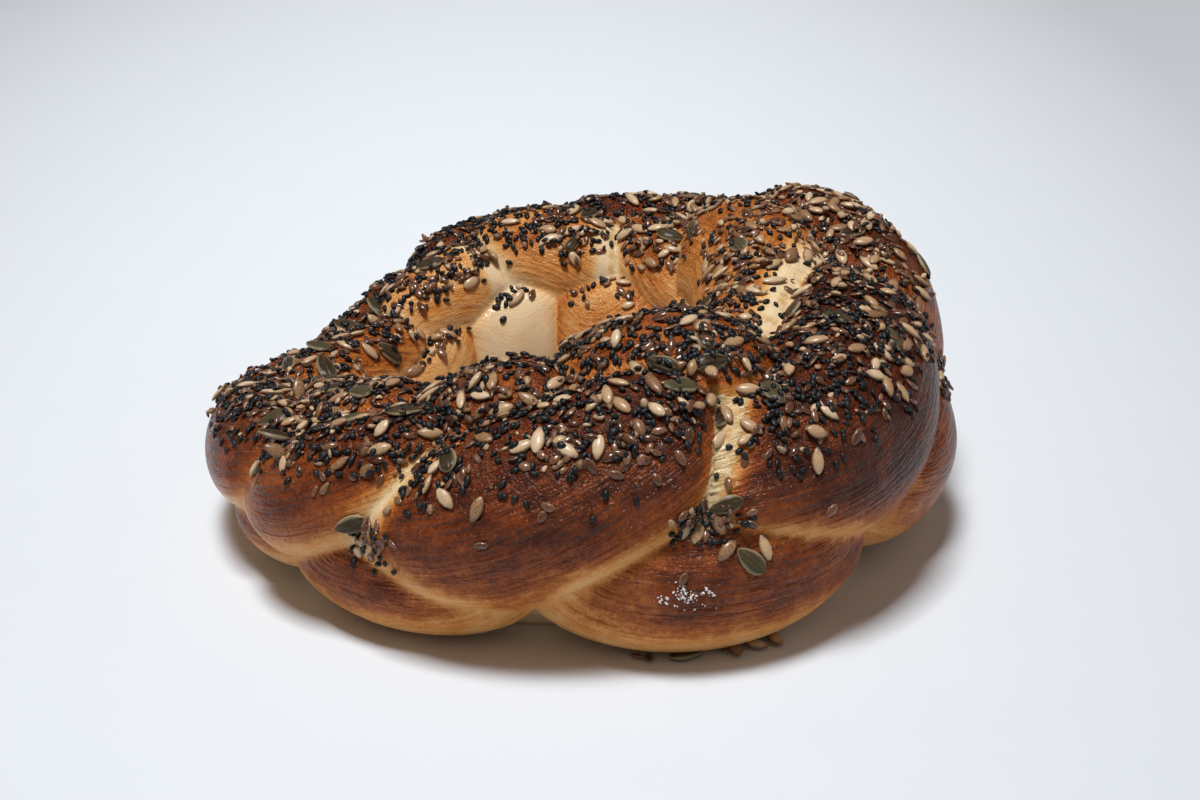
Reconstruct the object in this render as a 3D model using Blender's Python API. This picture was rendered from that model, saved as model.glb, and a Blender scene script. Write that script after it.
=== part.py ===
"""A round braided loaf with a hole in the middle, its top covered with seeds.

Metres, +Z up, resting on z = 0, the origin under the middle of its bounding box.

The loaf is a ring of fat strands. A point of its skin is named by two angles:
  turn   how far round the ring it is (0 = +X, 90 = far side, 270 = near side)
  lean   where it is on the ring's own section (0 = outward, 90 = up, 180 = inward)
Every strand is a row of balls along a smooth path of turn and lean. The skin
stands as far from the middle of the section as the highest ball reaches there,
so the strands meet in creases. The larger seeds are joined to the loaf.
"""
import bmesh
import bpy
import numpy as np
from mathutils import Matrix, Vector

# ---- the ring, every 30 degrees of turn from +X
OUTER_RADIUS = (.149, .151, .139, .127, .1155, .103, .122, .132, .131, .131, .143, .149)
INNER_RADIUS = (.036, .040, .045, .046, .048, .050, .054, .048, .040, .035, .033, .034)
LOAF_HEIGHT = (.098, .1035, .0895, .0845, .0765, .0605, .057, .065, .077, .0875, .096, .0955)
MIDDLE = 0.416               # height of the section's middle, as a share of the loaf's height
REACH = 0.044                # a ball that reaches this far touches the ring's nominal outline
CENTRE = (0.0112, -0.0029)   # middle of the bounding box, before it is moved over the origin

# ---- the turn at which each strand passes over the next one
OUTER_SEAMS = (215, 245, 293, 357, 400, 445, 486, 518)
INNER_SEAMS = (268, 311, 408, 428, 468, 503, 545, 592)

# ---- paths: share of the way to the seam, lean, ball radius, distance of the ball from the middle
UPPER_OUTER = ((-.15, 30, .020, .010), (.05, 30, .025, .015), (.35, 34, .028, .0185),
               (.65, 46, .028, .018), (.90, 59, .027, .017), (1.10, 72, .023, .014),
               (1.3, 84, .018, .006))
UPPER_INNER = ((-.15, 134, .020, .010), (.05, 130, .0225, .016), (.35, 121, .0245, .020),
               (.65, 111, .0255, .0205), (.90, 102, .025, .020), (1.15, 94, .021, .015),
               (1.4, 86, .016, .006))
LOWER_OUTER = ((-.08, -12, .018, .010), (.2, -28, .024, .0175), (.5, -30, .0262, .0195),
               (.8, -28, .0242, .0175), (1.08, -12, .018, .010))
LOWER_INNER = ((-.08, 158, .018, .010), (.2, 170, .0245, .0175), (.5, 174, .0265, .0195),
               (.8, 170, .0245, .0175), (1.08, 158, .018, .010))

# ---- how fat each strand is, how much further up it leans at its start and at its end, and how
# ---- much further round it starts, in the order of the seams
UPPER_OUTER_OWN = ((1.015, -9, -9, 0), (.98, 4, 0, 0), (1.035, -13, 3, 0), (1, 0, 0, 0),
                   (1, 0, 0, 0), (.99, 0, 0, 0), (.99, 0, 0, 0), (.98, 0, 0, 0))
UPPER_INNER_OWN = ((1.02, 0, 0, 0), (1.06, -3, -3, 0), (.945, 2, 2, 0), (.92, 5, 5, 0),
                   (1, 0, 0, 0), (1, 0, 0, 0), (1, 0, 0, 0), (1, 0, 0, 0))
LOWER_OUTER_OWN = ((.78, 7, 7, 0), (.90, 3, 3, -8), (.99, 7, 7, 0), (.96, 14, 14, 0),
                   (.97, 4, 4, 0), (.97, 4, 4, 0), (.97, 4, 4, 0), (.88, 4, 4, 0))
LOWER_INNER_OWN = ((1, 0, 0, 0), (1, 0, 0, 0), (.80, 0, 0, 0), (1, 0, 0, 0),
                   (1, 0, 0, 0), (1, 0, 0, 0), (1, 0, 0, 0), (1, 0, 0, 0))

BALLS = 60                   # balls in a strand
BALL_SPAN = 25               # no ball reaches further than this along the ring, degrees
CORE = 0.030                 # the dough behind the strands reaches this far
SOLE = (.0147, .024, -95)    # radius, distance and lean of the flat strip the loaf rests on
SOFTNESS = 0.0008            # how softly two strands meet
GROOVE = 0.0022              # how much deeper the crease is where they meet, and how wide
UNEVEN = 0.0007              # height of the slow swells on the skin

AROUND, ACROSS = 96, 34      # cells of the solid's skin
TABLE = (480, 240)           # cells of the finer skin that the seeds are placed on


def around(turn, values):
    """Smooth closed curve through equally spaced values (Catmull-Rom), read at any turn."""
    v = np.asarray(values, float)
    x = (turn % 360) / 360 * len(v)
    i = np.floor(x).astype(int)
    t = x - i
    a, b, c, d = (v[(i + k) % len(v)] for k in (-1, 0, 1, 2))
    return b + 0.5 * t * (c - a + t * (2 * a - 5 * b + 4 * c - d + t * (3 * (b - c) + d - a)))


def section(turn):
    """Middle radius, half width, middle height and half height of the ring's section."""
    outer, inner, height = (around(turn, v) for v in (OUTER_RADIUS, INNER_RADIUS, LOAF_HEIGHT))
    return (outer + inner) / 2, (outer - inner) / 2, height * MIDDLE, height * (1 - MIDDLE)


def smooth_path(points):
    """BALLS rows along a Catmull-Rom curve through the rows of points."""
    p = np.array(points, float)
    p = np.vstack([2 * p[0] - p[1], p, 2 * p[-1] - p[-2]])
    x = np.linspace(0, len(p) - 3 - 1e-9, BALLS)
    i = x.astype(int)
    t = (x - i)[:, None]
    a, b, c, d = (p[i + k] for k in range(4))
    return b + 0.5 * t * (c - a + t * (2 * a - 5 * b + 4 * c - d + t * (3 * (b - c) + d - a)))


def strands():
    """Every strand as rows of (turn, lean, radius, distance), one row a ball."""
    outer = np.array(OUTER_SEAMS, float)
    inner = np.array(INNER_SEAMS, float)
    rows = []
    for seams, upper, upper_own, lower, lower_own in (
            (outer, UPPER_OUTER, UPPER_OUTER_OWN, LOWER_OUTER, LOWER_OUTER_OWN),
            (inner, UPPER_INNER, UPPER_INNER_OWN, LOWER_INNER, LOWER_INNER_OWN)):
        before = np.append(seams[-1] - 360, seams[:-1])
        after = np.append(seams[1:], seams[0] + 360)
        for start, end, points, own in (
                (before, seams, upper, upper_own),
                ((before + seams) / 2, (seams + after) / 2, lower, lower_own)):
            for k, (fat, lean_first, lean_last, later) in enumerate(own):
                balls = smooth_path(points)
                balls[:, 0] = start[k] + later + balls[:, 0] * (end[k] - start[k] - later)
                balls[:, 1] += np.linspace(lean_first, lean_last, BALLS)
                balls[:, 2:] *= fat
                rows.append(balls)
    return rows


def strand_reach(turn, lean, balls):
    """How far one strand reaches from the section's middle, over a grid of turn and lean.

    A ball of radius R, its middle D from the section's middle, x along the ring and
    an angle y away, reaches D cos(y) + sqrt(R^2 - x^2 - (D sin(y))^2).
    """
    reach = np.zeros(turn.shape)
    first, last = balls[0, 0] - BALL_SPAN, balls[-1, 0] + BALL_SPAN
    near = np.nonzero((turn[:, 0] - first) % 360 <= last - first)[0]
    t, l, best = turn[near], lean[near], reach[near]
    middle, half_width, _, _ = section(t)
    ring = middle + 0.8 * half_width * np.cos(np.radians(l))
    for ball_turn, ball_lean, radius, distance in balls:
        x = np.radians((t - ball_turn + 180) % 360 - 180) * ring
        y = np.radians(l - ball_lean)
        square = radius ** 2 - x ** 2 - (distance * np.sin(y)) ** 2
        far = distance * np.cos(y) + np.sqrt(np.maximum(square, 0))
        best = np.maximum(best, np.where(square > 0, far, 0))
    reach[near] = best
    return reach


def skin(cells):
    """Points of the skin on a grid of cells (around, across)."""
    turn, lean = np.meshgrid(np.arange(cells[0]) * 360 / cells[0],
                             np.arange(cells[1]) * 360 / cells[1] - 90, indexing='ij')
    radius, distance, low = SOLE
    y = np.radians(lean - low)
    square = radius ** 2 - (distance * np.sin(y)) ** 2
    sole = distance * np.cos(y) + np.sqrt(np.maximum(square, 0))
    sole = np.where((square > 0) & (np.cos(y) > 0), sole, 0)
    layers = np.array([np.maximum(CORE, sole)] + [strand_reach(turn, lean, b) for b in strands()])
    top = layers.max(0)
    reach = top + SOFTNESS * np.log(np.exp((layers - top) / SOFTNESS).sum(0))
    second = np.sort(layers, axis=0)[-2]
    reach = reach - GROOVE * np.exp((second - top) / GROOVE)
    t, p = np.radians(turn), np.radians(lean)
    swell = np.sin(7 * t + 2 * np.sin(3 * p) + 1) * np.sin(3 * p + 2 * np.sin(5 * t))
    reach = reach + UNEVEN * swell * np.clip(np.sin(p) + 0.6, 0, 1)
    middle, half_width, half, half_height = section(turn)
    r = middle + half_width * np.cos(p) * reach / REACH
    z = np.maximum(half + half_height * np.sin(p) * reach / REACH, 0)
    return np.stack([r * np.cos(t) - CENTRE[0], r * np.sin(t) - CENTRE[1], z], -1)


# ---- seeds: length, width, thickness, how many are joined to the loaf, corners of a ring
PUMPKIN_SEED = (.0120, .0068, .0026, 24, 6)
SUNFLOWER_SEED = (.0090, .0046, .0025, 86, 5)
SEED_RINGS = ((.22, .62), (.52, 1.0), (.80, .72))   # share of the length, share of the girth
SEED_GAP = 0.0108            # least distance from a seed that chance places to any other
SEED_SINK = 0.25             # share of the thickness that is under the skin
SEEDED = (.42, .80)          # share of upward slope where seeds begin, and where they are thick
JUNCTIONS = ((293, 17, 7), (244, 15, 5), (356, 14, 6))   # turn, lean, degrees: clumps low down
CLUMPED = 2.0                # how much thicker the seeds lie in those clumps than on top
DRAWS = 4000                 # places tried by chance for each kind
CHANCE = 7                   # start of the random numbers

# ---- the seeds that stand out: turn, lean, and heading from the way that the turn grows
PUMPKIN_PLACES = (
    (240, 20, 20), (214, 91, 30), (226, 88, 0), (232, 68, 45), (214, 60, 65), (148, 79, 75),
    (158, 76, 75), (165, 127, 115), (293, 66, 355), (302, 82, 255), (308, 57, 80), (293, 80, 320),
    (301, 73, 170), (298, 2, 310), (41, 118, 150), (14, 67, 290), (131, 100, 150), (80, 104, 250),
    (13, 37, 210), (336, 53, 230))
SUNFLOWER_PLACES = (
    (242, 52, 30), (249, 65, 20), (252, 75, 45), (260, 55, 330), (262, 74, 20), (259, 87, 275),
    (267, 49, 205), (278, 47, 75), (274, 46, 140), (283, 62, 300), (289, 82, 290), (272, 85, 225),
    (300, 55, 85), (297, 47, 30), (292, 13, 235), (295, 6, 35), (300, 5, 275), (241, 5, 225),
    (221, 84, 45), (224, 77, 5), (227, 95, 355), (253, 95, 305), (302, 91, 15), (307, 78, 0),
    (315, 80, 345), (331, 87, 155), (327, 58, 160), (331, 52, 80), (341, 50, 90), (340, 42, 205),
    (357, 104, 325), (347, 92, 280), (8, 73, 180), (6, 63, 220), (354, 67, 210), (14, 44, 255),
    (171, 119, 80), (174, 107, 80))


def normals_of(points):
    """Outward normals of a closed grid of points, and the area that each point stands for."""
    along = np.roll(points, -1, 0) - np.roll(points, 1, 0)
    across = np.roll(points, -1, 1) - np.roll(points, 1, 1)
    normal = np.cross(along, across)
    area = np.linalg.norm(normal, axis=-1)
    return normal / np.maximum(area, 1e-12)[..., None], area


def chosen_places(points, normal, places):
    """Positions, normals and headings of the places that are named by turn and lean."""
    turn, lean, heading = np.array(places, float).T
    i = np.round(turn / 360 * TABLE[0]).astype(int) % TABLE[0]
    j = np.round((lean + 90) / 360 * TABLE[1]).astype(int) % TABLE[1]
    return points[i, j], normal[i, j], np.radians(heading)


def chance_places(points, normal, area, rng):
    """Seeded random positions, normals and headings, thick on top and at the junctions."""
    low, high = SEEDED
    thick = np.clip((normal[..., 2] - low) / (high - low), 0, 1)
    turn = np.arange(TABLE[0])[:, None] * 360 / TABLE[0]
    lean = np.arange(TABLE[1])[None, :] * 360 / TABLE[1] - 90
    for at, up, wide in JUNCTIONS:
        off = np.hypot((turn - at + 180) % 360 - 180, (lean - up) * 0.8)
        thick = np.maximum(thick, np.where(off < wide, CLUMPED, 0))
    share = np.cumsum((thick * area).ravel())
    picked = np.searchsorted(share, rng.random(DRAWS) * share[-1])
    return points.reshape(-1, 3)[picked], normal.reshape(-1, 3)[picked], rng.random(DRAWS) * 2 * np.pi


def seed_points(length, width, thickness, corners):
    """A flat drop: a tip, three rings and a blunt end, along X."""
    rows = [(-length / 2, 0, 0)]
    for along, girth in SEED_RINGS:
        for k in range(corners):
            a = 2 * np.pi * k / corners
            rows.append((length * (along - 0.5), width / 2 * girth * np.cos(a),
                         thickness / 2 * girth * np.sin(a)))
    rows.append((length / 2, 0, 0))
    n, last = corners, len(rows) - 1
    faces = [(0, 1 + (k + 1) % n, 1 + k) for k in range(n)]
    for ring in range(len(SEED_RINGS) - 1):
        a, b = 1 + ring * n, 1 + (ring + 1) * n
        faces += [(a + k, a + (k + 1) % n, b + (k + 1) % n, b + k) for k in range(n)]
    faces += [(last, last - n + k, last - n + (k + 1) % n) for k in range(n)]
    return rows, faces


def make_object(name, points, faces, collection):
    mesh = bpy.data.meshes.new(name)
    mesh.from_pydata([tuple(p) for p in points], [], faces)
    bm = bmesh.new()
    bm.from_mesh(mesh)
    bmesh.ops.recalc_face_normals(bm, faces=bm.faces)
    bmesh.ops.triangulate(bm, faces=bm.faces)
    bm.to_mesh(mesh)
    bm.free()
    obj = bpy.data.objects.new(name, mesh)
    collection.objects.link(obj)
    return obj


def seed_frame(at, up, heading, lift):
    """Where a seed lies: Z away from the skin, X turned by the heading from the ring's own way."""
    ahead = Vector((-at[1] - CENTRE[1], at[0] + CENTRE[0], 0))
    up = Vector(up)
    ahead = (ahead - ahead.dot(up) * up).normalized()
    turned = Matrix((ahead, up.cross(ahead), up)).transposed().to_4x4()
    return Matrix.Translation(Vector(at) + lift * up) @ turned @ Matrix.Rotation(heading, 4, 'Z')


def add_seeds(collection):
    """Larger seeds first: those that stand out, then chance ones, a little way into the skin."""
    table = skin(TABLE)
    normal, area = normals_of(table)
    rng = np.random.default_rng(CHANCE)
    taken = []
    for kind, size, chosen in (('pumpkin', PUMPKIN_SEED, PUMPKIN_PLACES),
                               ('sunflower', SUNFLOWER_SEED, SUNFLOWER_PLACES)):
        length, width, thickness, count, corners = size
        rows, faces = seed_points(length, width, thickness, corners)
        places = list(zip(*chosen_places(table, normal, chosen)))
        taken += [at for at, up, heading in places]
        for at, up, heading in zip(*chance_places(table, normal, area, rng)):
            if len(places) == count:
                break
            if min(np.linalg.norm(np.array(taken) - at, axis=1)) > SEED_GAP:
                places.append((at, up, heading))
                taken.append(at)
        for k, (at, up, heading) in enumerate(places):
            seed = make_object(f'{kind}_{k + 1}', rows, faces, collection)
            seed.matrix_world = seed_frame(at, up, heading, thickness * (0.5 - SEED_SINK))


def join_seeds(loaf, collection):
    """One union of the loaf with every seed, keeping only the largest piece."""
    union = loaf.modifiers.new('seeds', 'BOOLEAN')
    union.operation = 'UNION'
    union.operand_type = 'COLLECTION'
    union.collection = collection
    union.solver = 'EXACT'
    bpy.context.view_layer.update()
    graph = bpy.context.evaluated_depsgraph_get()
    joined = bpy.data.meshes.new_from_object(loaf.evaluated_get(graph))
    loaf.modifiers.clear()
    loaf.data = joined
    for seed in list(collection.objects):
        bpy.data.objects.remove(seed)
    bpy.data.collections.remove(collection)


def keep_largest(obj):
    """Drops scraps that touch nothing, and triangulates."""
    bm = bmesh.new()
    bm.from_mesh(obj.data)
    bmesh.ops.remove_doubles(bm, verts=bm.verts, dist=1e-6)
    left, groups = set(bm.verts), []
    while left:
        group, border = set(), [next(iter(left))]
        while border:
            v = border.pop()
            if v not in group:
                group.add(v)
                border += [e.other_vert(v) for e in v.link_edges]
        groups.append(group)
        left -= group
    groups.sort(key=len)
    for group in groups[:-1]:
        bmesh.ops.delete(bm, geom=list(group), context='VERTS')
    bmesh.ops.triangulate(bm, faces=bm.faces)
    bm.to_mesh(obj.data)
    bm.free()


def crust(obj):
    material = bpy.data.materials.new('crust')
    material.use_nodes = True
    shader = material.node_tree.nodes['Principled BSDF']
    shader.inputs['Base Color'].default_value = (0.30, 0.11, 0.035, 1)
    shader.inputs['Roughness'].default_value = 0.45
    obj.data.materials.clear()
    obj.data.materials.append(material)


def main():
    for obj in list(bpy.data.objects):
        bpy.data.objects.remove(obj)
    scene = bpy.context.scene.collection
    points = skin((AROUND, ACROSS))
    i, j = np.meshgrid(np.arange(AROUND), np.arange(ACROSS), indexing='ij')
    ahead, over = (i + 1) % AROUND, (j + 1) % ACROSS
    quads = np.stack([i * ACROSS + j, ahead * ACROSS + j, ahead * ACROSS + over, i * ACROSS + over], -1)
    loaf = make_object('challah', points.reshape(-1, 3), quads.reshape(-1, 4).tolist(), scene)
    seeds = bpy.data.collections.new('seeds')
    scene.children.link(seeds)
    add_seeds(seeds)
    join_seeds(loaf, seeds)
    keep_largest(loaf)
    crust(loaf)


main()
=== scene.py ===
# %% [markdown]
# # A round braided challah under a thick coat of seeds
#
# The loaf is a ring of fat strands of dough, laid over and under each other, brushed with egg,
# strewn with seeds and baked. This lesson dresses the plain solid of the loaf: first the crust,
# then the seeds, then the floor, the light and the camera.
#
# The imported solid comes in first, as a fixed frame. Everything below is in metres and in that
# frame: +Z is up, the loaf rests on z = 0, and the camera looks along +Y.

import bpy
import numpy as np
from mathutils import Matrix


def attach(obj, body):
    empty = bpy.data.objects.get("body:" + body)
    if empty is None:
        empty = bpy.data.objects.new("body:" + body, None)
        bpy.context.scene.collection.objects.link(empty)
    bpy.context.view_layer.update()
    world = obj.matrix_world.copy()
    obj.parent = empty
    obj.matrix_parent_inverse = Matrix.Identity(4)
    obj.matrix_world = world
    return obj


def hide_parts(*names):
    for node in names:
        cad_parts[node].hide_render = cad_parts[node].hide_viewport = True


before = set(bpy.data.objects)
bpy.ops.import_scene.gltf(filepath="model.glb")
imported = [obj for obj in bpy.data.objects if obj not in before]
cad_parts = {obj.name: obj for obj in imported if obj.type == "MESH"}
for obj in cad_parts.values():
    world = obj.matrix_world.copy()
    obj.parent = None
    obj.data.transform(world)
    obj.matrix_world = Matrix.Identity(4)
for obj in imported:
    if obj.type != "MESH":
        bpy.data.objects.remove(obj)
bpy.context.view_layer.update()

# %% [markdown]
# ## The ring
#
# A point of the skin is named by two angles. Its turn says how far round the ring it is: 0 is to
# the right, 90 far, 180 left, 270 near. Its lean says where it is on the ring's own section: 0 is
# outward, 90 up, 180 inward to the hole. The real loaf is taller on the right than on the left,
# and its hole isn't in the middle, so the outline is a list of measures every 30 degrees with a
# smooth closed curve through them. An ellipse would be simpler, but no real loaf is that even.

# %% Measures of the ring
OUTER_RADIUS = (.149, .151, .139, .127, .1155, .103, .122, .132, .131, .131, .143, .149)
INNER_RADIUS = (.036, .04, .045, .046, .048, .05, .054, .048, .04, .035, .033, .034)
LOAF_HEIGHT = (.098, .1035, .0895, .0845, .0765, .0605, .057, .065, .077, .0875, .096, .0955)
MIDDLE = 0.416  # height of the section's middle, as a share of the loaf's height
REACH = 0.044  # a ball that reaches this far touches the ring's nominal outline
CENTRE = (0.0112, -0.0029)  # the ring's own centre lies this far from the middle of its box


def between(a, b, c, d, t):
    """Catmull-Rom curve, b at t = 0 and c at t = 1; its slopes there are (c - a) / 2 and (d - b) / 2."""
    return b + 0.5 * t * (c - a + t * (2 * a - 5 * b + 4 * c - d + t * (3 * (b - c) + d - a)))


def around(turn, values):
    """Smooth closed curve through equally spaced values, read at any turn."""
    v = np.asarray(values, float)
    x = (turn % 360) / 360 * len(v)
    i = np.floor(x).astype(int)
    return between(*(v[(i + k) % len(v)] for k in (-1, 0, 1, 2)), x - i)


def section(turn):
    """Middle radius, half width, middle height and half height of the ring's section."""
    outer, inner, height = (around(turn, v) for v in (OUTER_RADIUS, INNER_RADIUS, LOAF_HEIGHT))
    return (outer + inner) / 2, (outer - inner) / 2, height * MIDDLE, height * (1 - MIDDLE)


print("loaf height at the left and at the right, mm:",
      np.round(1000 * around(np.array([180, 30]), LOAF_HEIGHT), 1))

# %% [markdown]
# ## The strands
#
# In the braid a strand rises from under its neighbour, swells as it goes, and dives under the next
# one. Four rows of strands are enough for this: an upper and a lower row on the outside, and the
# same towards the hole. Each strand is a row of balls along a smooth path of turn and lean. A
# curve with a bevel could give such a strand too, but balls can change their size along the way
# and can be measured from the middle of the section, which the skin needs.

# %% Paths of the strands
OUTER_SEAMS = (215, 245, 293, 357, 400, 445, 486, 518)
INNER_SEAMS = (268, 311, 408, 428, 468, 503, 545, 592)
BALLS = 60

# share of the way to the seam, lean, ball radius, distance of the ball from the middle
UPPER_OUTER = ((-.15, 30, .02, .01), (.05, 30, .025, .015), (.35, 34, .028, .0185),
               (.65, 46, .028, .018), (.9, 59, .027, .017), (1.1, 72, .023, .014),
               (1.3, 84, .018, .006))
UPPER_INNER = ((-.15, 134, .02, .01), (.05, 130, .0225, .016), (.35, 121, .0245, .02),
               (.65, 111, .0255, .0205), (.9, 102, .025, .02), (1.15, 94, .021, .015),
               (1.4, 86, .016, .006))
LOWER_OUTER = ((-.08, -12, .018, .01), (.2, -28, .024, .0175), (.5, -30, .0262, .0195),
               (.8, -28, .0242, .0175), (1.08, -12, .018, .01))
LOWER_INNER = ((-.08, 158, .018, .01), (.2, 170, .0245, .0175), (.5, 174, .0265, .0195),
               (.8, 170, .0245, .0175), (1.08, 158, .018, .01))

# how fat each strand is, how much further up it leans at its start and at its end, and how much
# further round it starts, in the order of the seams
PLAIN = (1, 0, 0, 0)
UPPER_OUTER_OWN = ((1.015, -9, -9, 0), (.98, 4, 0, 0), (1.035, -13, 3, 0), PLAIN, PLAIN,
                   (.99, 0, 0, 0), (.99, 0, 0, 0), (.98, 0, 0, 0))
UPPER_INNER_OWN = ((1.02, 0, 0, 0), (1.06, -3, -3, 0), (.945, 2, 2, 0), (.92, 5, 5, 0)) + 4 * (PLAIN,)
LOWER_OUTER_OWN = ((.78, 7, 7, 0), (.9, 3, 3, -8), (.99, 7, 7, 0), (.96, 14, 14, 0),
                   (.97, 4, 4, 0), (.97, 4, 4, 0), (.97, 4, 4, 0), (.88, 4, 4, 0))
LOWER_INNER_OWN = 2 * (PLAIN,) + ((.8, 0, 0, 0),) + 5 * (PLAIN,)


def smooth_path(points):
    """BALLS rows along a Catmull-Rom curve through the rows of points."""
    p = np.array(points, float)
    p = np.vstack([2 * p[0] - p[1], p, 2 * p[-1] - p[-2]])
    x = np.linspace(0, len(p) - 3 - 1e-9, BALLS)
    i = x.astype(int)
    return between(*(p[i + k] for k in range(4)), (x - i)[:, None])


def strands():
    """Every strand as rows of (turn, lean, radius, distance): 8 upper outer, 8 lower outer,
    8 upper inner and 8 lower inner ones."""
    outer = np.array(OUTER_SEAMS, float)
    inner = np.array(INNER_SEAMS, float)
    rows = []
    for seams, upper, upper_own, lower, lower_own in (
            (outer, UPPER_OUTER, UPPER_OUTER_OWN, LOWER_OUTER, LOWER_OUTER_OWN),
            (inner, UPPER_INNER, UPPER_INNER_OWN, LOWER_INNER, LOWER_INNER_OWN)):
        before = np.append(seams[-1] - 360, seams[:-1])
        after = np.append(seams[1:], seams[0] + 360)
        for start, end, points, own in (
                (before, seams, upper, upper_own),
                ((before + seams) / 2, (seams + after) / 2, lower, lower_own)):
            for k, (fat, lean_first, lean_last, later) in enumerate(own):
                balls = smooth_path(points)
                balls[:, 0] = start[k] + later + balls[:, 0] * (end[k] - start[k] - later)
                balls[:, 1] += np.linspace(lean_first, lean_last, BALLS)
                balls[:, 2:] *= fat
                rows.append(balls)
    return rows


print("strands:", len(strands()))

# %% [markdown]
# ## The skin
#
# The crust is one closed skin over all the strands. At each turn and lean it stands as far from
# the middle of the section as the highest ball reaches there, and where two strands reach equally
# far it sinks into the crease between them. A remeshed pile of tubes would look about the same,
# but on a grid each point knows its strand, how far along it lies and how far from the next
# crease, and the colour of the crust needs all three.

# %% Reach of the strands
CORE = 0.03  # the dough behind the strands reaches this far
SOLE = (.0147, .024, -95)  # radius, distance and lean of the flat strip the loaf rests on
SOFTNESS = 0.0008  # how softly two strands meet
GROOVE = 0.0022  # how much deeper the crease is where they meet, and how wide
UNEVEN = 0.0007  # height of the slow swells on the skin
BEYOND = 25  # degrees past its ends that a strand can still reach
PATH_ASIDE = 0.035  # how far outward or inward a path gets from the section's middle
PATH_RADIUS = 0.045  # radius of the way that a path takes over the section


def strand_reach(turn, lean, balls):
    """How far one strand reaches from the section's middle, and where each point lies on it.

    A ball of radius R, its middle D from the section's middle, x along the ring and an angle y
    away, reaches D cos(y) + sqrt(R^2 - x^2 - (D sin(y))^2). The point's place is read from the
    ball that it is deepest in: metres along the path, then metres to the side of it.
    """
    reach = np.zeros(turn.shape)
    chart = np.zeros(turn.shape + (2,))
    first, last = balls[0, 0] - BEYOND, balls[-1, 0] + BEYOND
    near = np.nonzero((turn[:, 0] - first) % 360 <= last - first)[0]
    t, l, best = turn[near], lean[near], reach[near]
    closest, place = np.full(t.shape, -1.0), np.zeros(t.shape + (2,))
    middle, half_width, _, _ = section(t)
    ring = middle + 0.8 * half_width * np.cos(np.radians(l))
    path_turn, path_lean = np.radians(balls[:, :2].T)
    path_ring = section(balls[:, 0])[0] + PATH_ASIDE * np.cos(path_lean)
    step = np.gradient(path_turn) * path_ring, np.gradient(path_lean) * PATH_RADIUS
    length = np.hypot(*step)
    travelled = np.cumsum(length)
    for k, (ball_turn, ball_lean, radius, distance) in enumerate(balls):
        x = np.radians((t - ball_turn + 180) % 360 - 180) * ring
        y = np.radians(l - ball_lean)
        square = radius ** 2 - x ** 2 - (distance * np.sin(y)) ** 2
        far = distance * np.cos(y) + np.sqrt(np.maximum(square, 0))
        best = np.maximum(best, np.where(square > 0, far, 0))
        side = y * half_width
        ahead = (x * step[0][k] + side * step[1][k]) / length[k]
        across = (side * step[0][k] - x * step[1][k]) / length[k]
        nearer = square > closest
        closest = np.where(nearer, square, closest)
        place = np.where(nearer[..., None], np.stack([travelled[k] + ahead, across], -1), place)
    reach[near] = best
    chart[near] = place
    return reach, chart, travelled[-1]


def skin(turn, lean):
    """For a grid of turns and leans: the points of the skin, how far the core and each strand reach,
    each point's place on every strand, and the strands' lengths."""
    radius, distance, low = SOLE
    y = np.radians(lean - low)
    square = radius ** 2 - (distance * np.sin(y)) ** 2
    sole = distance * np.cos(y) + np.sqrt(np.maximum(square, 0))
    sole = np.where((square > 0) & (np.cos(y) > 0), sole, 0)
    reaches, places, lengths = zip(*(strand_reach(turn, lean, balls) for balls in strands()))
    layers = np.array([np.maximum(CORE, sole), *reaches])
    top = layers.max(0)
    reach = top + SOFTNESS * np.log(np.exp((layers - top) / SOFTNESS).sum(0))
    second = np.sort(layers, axis=0)[-2]
    reach = reach - GROOVE * np.exp((second - top) / GROOVE)
    t, p = np.radians(turn), np.radians(lean)
    swell = np.sin(7 * t + 2 * np.sin(3 * p) + 1) * np.sin(3 * p + 2 * np.sin(5 * t))
    reach = reach + UNEVEN * swell * np.clip(np.sin(p) + 0.6, 0, 1)
    middle, half_width, half, half_height = section(turn)
    r = middle + half_width * np.cos(p) * reach / REACH
    z = np.maximum(half + half_height * np.sin(p) * reach / REACH, 0)
    points = np.stack([r * np.cos(t) - CENTRE[0], r * np.sin(t) - CENTRE[1], z], -1)
    on_core = np.stack([t * middle, p * half_width], -1)
    return points, layers, np.array([on_core, *places]), np.array([1, *lengths])


# %% [markdown]
# The grid has more rows on the upper and outer side, which is looked at, than on the underside.
# It stays under 200,000 triangles; everything finer than 2 mm is left to the material.

# %% Work out the skin
AROUND, ACROSS = 560, 176
turns = np.arange(AROUND) * 360 / AROUND
rows = np.arange(ACROSS) / ACROSS
leans = -90 + 360 * (rows + 0.045 * np.sin(2 * np.pi * rows))
turn_grid, lean_grid = np.meshgrid(turns, leans, indexing="ij")
points, layers, charts, lengths = skin(turn_grid, lean_grid)


def normals_of(p):
    """Unit normals and cell areas of a closed grid: the cross product of its two directions."""
    along = np.roll(p, -1, 0) - np.roll(p, 1, 0)
    over = np.roll(p, -1, 1) - np.roll(p, 1, 1)
    normal = np.cross(along, over)
    size = np.linalg.norm(normal, axis=-1)
    return normal / np.maximum(size, 1e-12)[..., None], size / 4


normals, areas = normals_of(points)
print("skin:", points.shape[:2], "triangles", 2 * AROUND * ACROSS,
      "top of the loaf, mm:", round(1000 * points[..., 2].max(), 1))
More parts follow.
